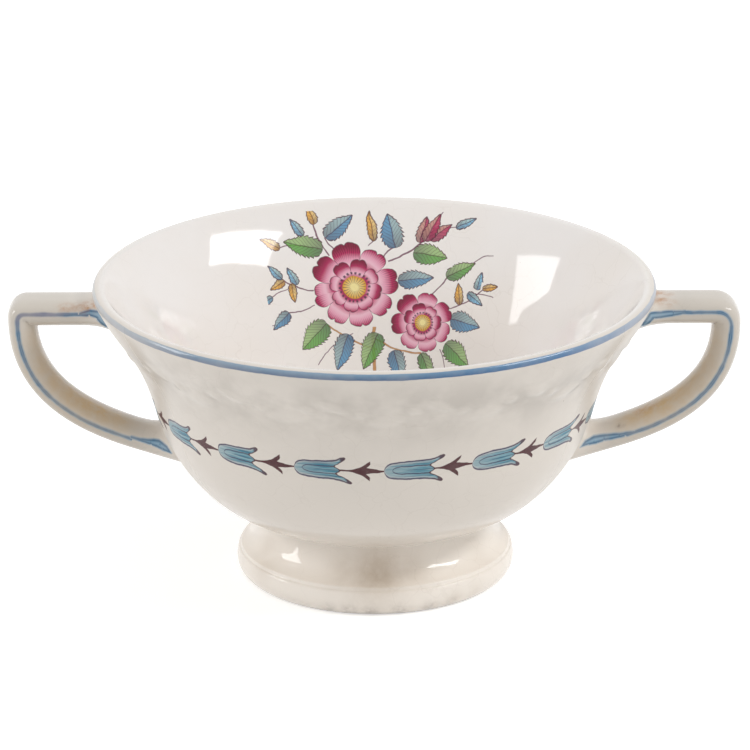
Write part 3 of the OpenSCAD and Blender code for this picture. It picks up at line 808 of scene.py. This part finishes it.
def flower(under, flat):
    """Two rings of petals, each a lobe curve of angle x petals, coloured by the share of the radius."""
    x, y = own_place(flat, "flower")
    radius, petals, _ = own_size("flower")
    angle = add("DIVIDE", add("ARCTAN2", y, x), 2 * math.pi)
    share = add("DIVIDE", add("VectorMath LENGTH", add("CombineXYZ", x, y, 0.0)), radius)
    engraved = add("MapRange", comb(angle, ENGRAVED), 0.24, 0.1)
    picture = under
    for reach, shift in ((1.0, 0.0), (0.62, 0.5)):
        phase = add("ADD", add("MULTIPLY", angle, petals), shift)
        number = add("ROUND", phase)
        lean = add("MULTIPLY", add("ABSOLUTE", add("SUBTRACT", phase, number)), 2.0)
        own = add("TexWhiteNoise", number, noise_dimensions="1D")
        edge = add("MULTIPLY", add("FloatCurve", 1.0, lean, points=PETAL_EDGE),
            add("MapRange", own, 0.0, 1.0, reach * 0.93, reach * 1.04))
        depth = add("SUBTRACT", edge, share)
        inside = add("MapRange", depth, -0.008, 0.008)
        blush = add("ADD", add("DIVIDE", share, reach), add("MapRange", own, 0.0, 1.0, -0.08, 0.08))
        petal = add("ValToRGB", blush, stops=[(0.3, "#93063a"), (0.44, "#cf3a74"),
            (0.6, "#f3c3d2"), (0.72, "#eea6bf"), (0.86, "#bf2560"), (1.0, "#8a0638")])
        reach_in = add("MAXIMUM", add("MapRange", blush, 0.64, 0.9, 0.0, 0.75),
            add("MapRange", blush, 0.6, 0.4, 0.0, 0.7))
        between = add("MapRange", lean, 0.95, 0.99, 0.0, 0.8)
        dark = add("MAXIMUM", add("MULTIPLY", engraved, reach_in), between)
        picture = add("Mix RGBA", inside, picture, add("Mix RGBA", dark, petal, "#66042c"))
        picture = add("Mix RGBA", stripe(depth, 0.018, 0.007, 0.85), picture, "#5c0f30")
    gold = add("Mix RGBA", add("MapRange", share, 0.08, 0.25), "#f6e7a2", "#e0a52a")
    picture = add("Mix RGBA", add("MapRange", share, HEART + 0.01, HEART - 0.01), picture, gold)
    beads = comb(angle, BEADS)
    bead_ring = add("MULTIPLY", add("MapRange", beads, 0.3, 0.2),
        stripe(add("SUBTRACT", share, 0.33), 0.035, 0.022, 0.9))
    stamens = add("MULTIPLY", add("MapRange", beads, 0.14, 0.08),
        stripe(add("SUBTRACT", share, 0.17), 0.09, 0.07, 0.8))
    return add("Mix RGBA", add("MAXIMUM", bead_ring, stamens), picture, "#4a2440")


def posy(under, spot):
    """Twigs, then leaves, then flowers, each layer painted over the one before, on the wall laid flat."""
    x, y, z = add("SeparateXYZ", spot)
    noise = add("TexNoise", spot, 0.35, 2.0, 0.5, out="Color")
    shake = add("VectorMath MULTIPLY_ADD", noise, (POSY_SHAKE, POSY_SHAKE, 0.0),
        (-POSY_SHAKE / 2, -POSY_SHAKE / 2, 0.0))
    laid = add("CombineXYZ", add("MULTIPLY", add("ARCTAN2", x, y), FLAT_R),
        add("MULTIPLY_ADD", z, FLAT_STRETCH, -FLAT_Z * FLAT_STRETCH), 0.0)
    flat = add("VectorMath ADD", laid, shake)
    for painter, name in ((twig, "twig_"), (leaf, "leaf_")):
        for layer in range(len(POSY_LEAVES)):
            under = painter(under, flat, name + str(layer))
    return flower(under, flat)


# %% [markdown]
# ## Age, and painted shade on the foot
#
# Old earthenware drinks in fat through the crazing and the unglazed foot. Rust-brown sits where the handles
# meet the rim, tan patches lie under the straps, and grey smudges on the resting edge. Brown painted shade
# darkens the front of the foot's flare under the bowl, and the foot's sides. Each is a soft spot with a
# place, a radius and a strength, and the material breaks it up with noise.

# %% Stains and painted shade on the points
points = np.empty((len(skin.vertices), 3))
skin.vertices.foreach_get("co", points.reshape(-1))
points /= MM
# x, z, radius, strength
UNDER_STRAP = [(72.6, 52.5, 4.5, 0.35), (71.2, 47.5, 4.5, 0.5), (68.8, 44.0, 4.0, 0.65),
    (65.5, 41.0, 4.0, 0.8), (62.2, 38.8, 4.0, 0.9), (58.8, 37.2, 3.6, 0.9), (55.6, 35.8, 3.4, 0.75)]
# x, y, z, radius, strength
STAINS_AND_PAINTED_SHADE = {
    "rust": [(-66, -5.1, 61.6, 1.4, 0.6), (-64, -5.1, 61.6, 1.3, 0.55), (-61.9, -4.8, 61.8, 1.6, 0.9),
        (-60, -4.5, 62.1, 1.4, 0.8), (61.1, 0.6, 62.5, 1.7, 0.8), (61.7, -3.5, 62.2, 1.5, 0.8),
        (63.2, 0, 62.4, 1.5, 0.5), (63.3, -4.2, 62, 1.3, 0.5), (57.4, -1.6, 37.2, 1.6, 0.7),
        (59.4, -1.6, 38.2, 1.5, 0.6)],
    # tan patches under the straps
    "tea": [(side * x, -2.8, *rest) for side in (-1, 1) for x, *rest in UNDER_STRAP],
    # painted shade: darker brown on the front of the foot's flare under the bowl, and on the foot's sides
    "shade": [(0.5, -26.0, 8.6, 6.0, 0.62), (-6, -25.5, 9.2, 4.5, 0.3), (7, -25.5, 9.2, 4.5, 0.3),
        (-24.4, -17.1, 5.7, 3, 0.15), (-24, -12, 9, 3, 0.15), (17.1, -24.6, 2.1, 2.2, 0.15),
        (21.5, -21, 2.5, 2.2, 0.12), (22, -14, 9, 3, 0.1)],
    "grime": [(-9.7, -28.1, 0.8, 1.8, 0.3), (-5.4, -29.2, 0.8, 2.0, 0.4), (-1.1, -29.5, 0.6, 2.0, 0.4),
        (5.3, -29, 0.8, 2.0, 0.35), (11.7, -27.2, 1.0, 1.8, 0.35), (16.5, -25, 1.0, 1.5, 0.25),
        (52.8, -3.9, 33.9, 0.5, 0.9), (53.7, -4.2, 34, 0.4, 0.8), (-32.7, 42.3, 58.3, 0.5, 0.9)]}


def store(name, values):
    """Store one number on each point of the skin, and say how far it reaches."""
    skin.attributes.new(name, "FLOAT", "POINT").data.foreach_set("value", values)
    print(name, "reaches", (values > 0.2).sum(), "points")


for name, places in STAINS_AND_PAINTED_SHADE.items():
    places = np.array(places)
    near = np.exp(-((points[:, None] - places[:, :3]) ** 2).sum(-1) / places[:, 3] ** 2) * places[:, 4]
    store(name, near.max(axis=1))

# %% [markdown]
# ## Painted light and shade, and where the glaze changes
#
# The outer side and the straps are painted darker as shade, and the foot brighter as light from the paper,
# with a little more cream where the glaze lies thick. Grey patches of painted shade lie in the hollows
# between the garland's leaves. Hands have dulled the wall beside the handles. Each of these is a share
# from 0 to 1, worked out from how far a point stands beyond the wall's own radius, and stored on the points
# like the stains.

# %% Shares on the points
point_z = points[:, 2]
wall_r = np.interp(point_z, wall_line[:, 1], wall_line[:, 0])
beyond = np.hypot(points[:, 0], points[:, 1]) - wall_r
outer_wall = (beyond > -0.5) & (beyond < 1)
leaf_height = np.clip(garland(np.arctan2(points[:, 1], points[:, 0]), point_z, wall_r) / 0.3, 0, 0.6)
beside_handle = np.clip((np.abs(points[:, 0]) / wall_r - 0.62) / 0.3, 0, 1)
in_garland = np.exp(-(((point_z - GARLAND_Z) / 7.5) ** 2))

# the outer side and the straps from 2 mm off the wall, painted darker, the foot from 17 mm down, painted
# brighter, the wall beside the handles from 16 mm up, and the garland's band apart from its leaves, where
# grey patches of painted shade lie
store("outside", np.clip(beyond + 1.6, 0, 1))
store("foot", np.clip((17 - point_z) / 9, 0, 1))
store("strap", np.clip((beyond - 2) / 5, 0, 1) * (point_z > 20))
store("dulled", beside_handle * np.clip((point_z - 16) / 6, 0, 1) * outer_wall)
store("hollow", in_garland * outer_wall * (1 - leaf_height))

# %% [markdown]
# ## The cream glaze
#
# The lead glaze is clear and slightly yellow. Its colour also holds painted light and shade: the outer side
# and the straps are darker, the foot is brighter, with a little more cream where the glaze lies thick, and
# the garland's hollows are greyer in soft patches. It is very smooth, which gives sharp reflections of the
# windows, and rougher where hands have dulled it. It lies in faint waves, which bend the reflections' edges a
# little. A net of crazing and a few iron specks lie over the paint. Five materials share this glaze and
# differ only in the painting under it, so their borders can't be seen.

# %% Glaze over any painting
SMOOTH, DULL, GLAZE_IOR, WAVE_HEIGHT = 0.06, 0.32, 1.48, 0.00006
# painted light and shade in the glaze's colour: the outer side and the straps darker, the foot brighter with
# a little more cream
LIGHT_AND_SHADE_TINTS = {"outside": "#e9e1d7", "foot": "#fff7ed", "strap": "#d6cec3"}
# stains and painted shade: colour, and the least share that the noise leaves
STAIN_AND_SHADE_TINTS = {"shade": ("#b39c7e", 0.8), "tea": ("#d3b587", 0.6), "rust": ("#bb7a34", 0.15),
    "grime": ("#7d6c62", 0.3)}


def cream_glaze(name, painting):
    """Cream body with its painted light and shade, then the painting, then stains and painted shade, crazing
    and specks, all under one clear gloss.
    """
    material = bpy.data.materials.new(name)
    shader = open_nodes(material)["Principled BSDF"]
    spot = add("VectorMath SCALE", add("TexCoord", out="Object"), 1 / MM)
    clouds = add("TexNoise", spot, 0.035, 2.0, 0.5)
    body = add("Mix RGBA", add("MapRange", clouds, 0.35, 0.65), "#f7f3f0", "#f5efe9")
    # painted shade on the outer side and the straps, painted light on the foot
    for part, tint in LIGHT_AND_SHADE_TINTS.items():
        body = add("Mix RGBA", add("Attribute " + part, out="Fac"), body, tint)
    # painted shade: soft grey patches in the garland's hollows, between its leaves
    patches = add("MapRange", add("TexNoise", spot, 0.09, 3.0, 0.6), 0.36, 0.62, 0.0, 0.5)
    shade_in_hollows = add("MULTIPLY", add("Attribute hollow", out="Fac"), patches)
    body = add("Mix RGBA", shade_in_hollows, body, "#b5ada3")
    painted = painting(body, spot)

    blotch = add("TexNoise", spot, 0.6, 4.0, 0.62)
    # real stains, and painted shade on the foot
    for stain_or_shade, (tint, least) in STAIN_AND_SHADE_TINTS.items():
        amount = add("MULTIPLY", add("Attribute " + stain_or_shade, out="Fac"),
            add("MapRange", blotch, 0.36, 0.62, least, 1.0))
        painted = add("Mix RGBA", amount, painted, tint)

    bend = add("VectorMath SCALE", add("TexNoise", spot, 0.3, 2.0, 0.5, out="Color"), 3.0)
    bent = add("VectorMath ADD", spot, bend)
    crack = add("TexVoronoi", bent, 0.16, feature="DISTANCE_TO_EDGE")
    craze = add("MULTIPLY", add("MapRange", crack, 0.016, 0.006, 0.0, 0.07),
        add("MapRange", clouds, 0.4, 0.6, 0.2, 1.0))
    crazed = add("Mix RGBA", craze, painted, "#9c8a74")
    dot, dot_kind = add("TexVoronoi", spot, 0.12, out=slice(2))
    size, chance, _ = add("SeparateXYZ", dot_kind)
    speck = add("MULTIPLY", add("GREATER_THAN", chance, 0.82),
        add("MapRange", add("SUBTRACT", dot, add("MULTIPLY", size, 0.022)), 0.01, 0.0, 0.0, 0.6))
    tree.links.new(add("Mix RGBA", speck, crazed, "#7d5f45"), shader.inputs["Base Color"])

    waves = add("TexNoise", spot, 0.12, 2.0, 0.5)
    tree.links.new(add("Bump", 0.5, WAVE_HEIGHT, None, waves), shader.inputs["Normal"])
    roughness = add("MapRange", add("Attribute dulled", out="Fac"), 0.0, 1.0, SMOOTH, DULL)
    tree.links.new(roughness, shader.inputs["Roughness"])
    shader.inputs["IOR"].default_value = GLAZE_IOR
    return material


def plain(under, spot):
    """No painting."""
    return under


PAINTINGS = {"cream_glaze_with_lip_line": lip_line, "cream_glaze_over_husk_border": husk_border,
    "cream_glaze_over_posy": posy, "cream_glaze_over_handle_lines": handle_lines, "plain_cream_glaze": plain}
skin.materials.clear()
for name, painting in PAINTINGS.items():
    skin.materials.append(cream_glaze(name, painting))
    print(name, "has", len(tree.nodes), "nodes")

# %% Give every face its material
BORDER_LOW, BORDER_HIGH = 36, 44.2
LIP_PAINT, BORDER_PAINT, POSY_PAINT, HANDLE_PAINT, NO_PAINT = range(5)
outer_r = np.interp(centres[:, 2], wall_line[:, 1], wall_line[:, 0])
on_border = (np.abs(face_r - outer_r) < 0.3) & (centres[:, 2] > BORDER_LOW) & (centres[:, 2] < BORDER_HIGH)
on_lip = (face_r > 57) & (centres[:, 2] > 63.0) & (np.abs(face_r - lip_centre[0]) < 2)
number = np.full(len(centres), NO_PAINT)
number[on_handle & ~on_border] = HANDLE_PAINT
number[on_posy] = POSY_PAINT
number[on_border] = BORDER_PAINT
number[on_lip] = LIP_PAINT
skin.polygons.foreach_set("material_index", number.astype(np.int32))
skin.update()
print("faces of each material:", np.bincount(number))

# %% [markdown]
# ## Light
#
# Two windows light the bowl, one to the left and one to the right of the camera, and the pale room fills in
# the rest. They are glowing sheets, because their outlines show in the glaze. Each was found from its
# reflection: seen from the point of the wall where the reflection lies, it spans so much across and so much
# in height at one metre. The left one is narrow at the bottom, which draws out the reflection's tail. The
# right one glows more, since the inside's left and the outside's right are the brighter sides.

# %% Windows
WHITE = (1.0, 1.0, 1.0, 1.0)


def flat_sheet(name, corners, material):
    """One flat face through these corners, in metres."""
    mesh = bpy.data.meshes.new(name)
    mesh.from_pydata(corners, [], [tuple(range(len(corners)))])
    mesh.materials.append(material)
    return show(name, mesh)


def window(name, glow, seen_from, facing, corners):
    """A glowing sheet one metre from seen_from, in the direction facing, in degrees from the camera's side
    towards +X. Its corners lie so far across sideways and so far up, in metres."""
    daylight = bpy.data.materials.new(name + "_light")
    surface = open_nodes(daylight)["Material Output"].inputs["Surface"]
    tree.links.new(add("Emission", WHITE, glow), surface)
    side = np.append(heading(facing), 0)
    out = np.array([side[1], -side[0], 0])
    across, high = np.array(corners).T[:, :, None]
    places = np.array(seen_from) + out + side * across + [0, 0, 1] * high
    pane = flat_sheet(name, places.tolist(), daylight)
    print(name, "has its middle at", places.mean(axis=0).round(2), "m")


window("right_window", 11.6, (-0.035, 0.040, 0.057), 53, [(0.13, 0.67), (0.0, 1.02), (0.745, 0.945),
    (0.80, 0.70)])
window("left_window", 7.2, (0.037, 0.036, 0.053), -62, [(-0.87, 0.705), (-0.32, 0.705), (-0.32, 0.30),
    (-0.30, 0.08), (-0.33, 0.08), (-0.45, 0.33), (-0.80, 0.44)])

# %% [markdown]
# ## Room and paper
#
# The room's soft light comes from everywhere. The eye and the mirror-like reflections see it pure white, as
# a white studio would look, while the light it sends on to matt surfaces is weaker. The bowl stands on a
# sheet of white paper, which is lifted to the same white where the eye or a reflection meets it and still
# keeps the soft shadow round the foot.

# %% World and floor
ROOM, PAPER, PAPER_LIFT, FLOOR_HALF = 0.62, 0.92, 0.4, 3


def seen_directly():
    """One where the eye, a mirror-like reflection or a view through glass meets the surface, else nothing."""
    rays = [add("LightPath", out=f"Is {kind} Ray") for kind in ("Camera", "Glossy", "Transmission")]
    return add("MAXIMUM", add("MAXIMUM", rays[0], rays[1]), rays[2])


world = bpy.data.worlds.new("studio")
bpy.context.scene.world = world
surface = open_nodes(world)["World Output"].inputs["Surface"]
room, white = add("Background", WHITE, ROOM), add("Background", WHITE, 1.0)
tree.links.new(add("MixShader", seen_directly(), room, white), surface)

paper = bpy.data.materials.new("white_paper")
sheet = open_nodes(paper)["Principled BSDF"]
sheet.inputs["Base Color"].default_value = (PAPER, PAPER, PAPER, 1)
sheet.inputs["Roughness"].default_value = 1.0
sheet.inputs["Specular IOR Level"].default_value = 0.0
sheet.inputs["Emission Color"].default_value = WHITE
tree.links.new(add("MULTIPLY", seen_directly(), PAPER_LIFT), sheet.inputs["Emission Strength"])

floor_corners = [(x * FLOOR_HALF, y * FLOOR_HALF, 0) for x, y in ((-1, -1), (1, -1), (1, 1), (-1, 1))]
floor = flat_sheet("floor", floor_corners, paper)
bpy.context.scene.view_settings.view_transform = "Standard"
print("room sends", ROOM, "of white, floor", 2 * FLOOR_HALF, "m wide")
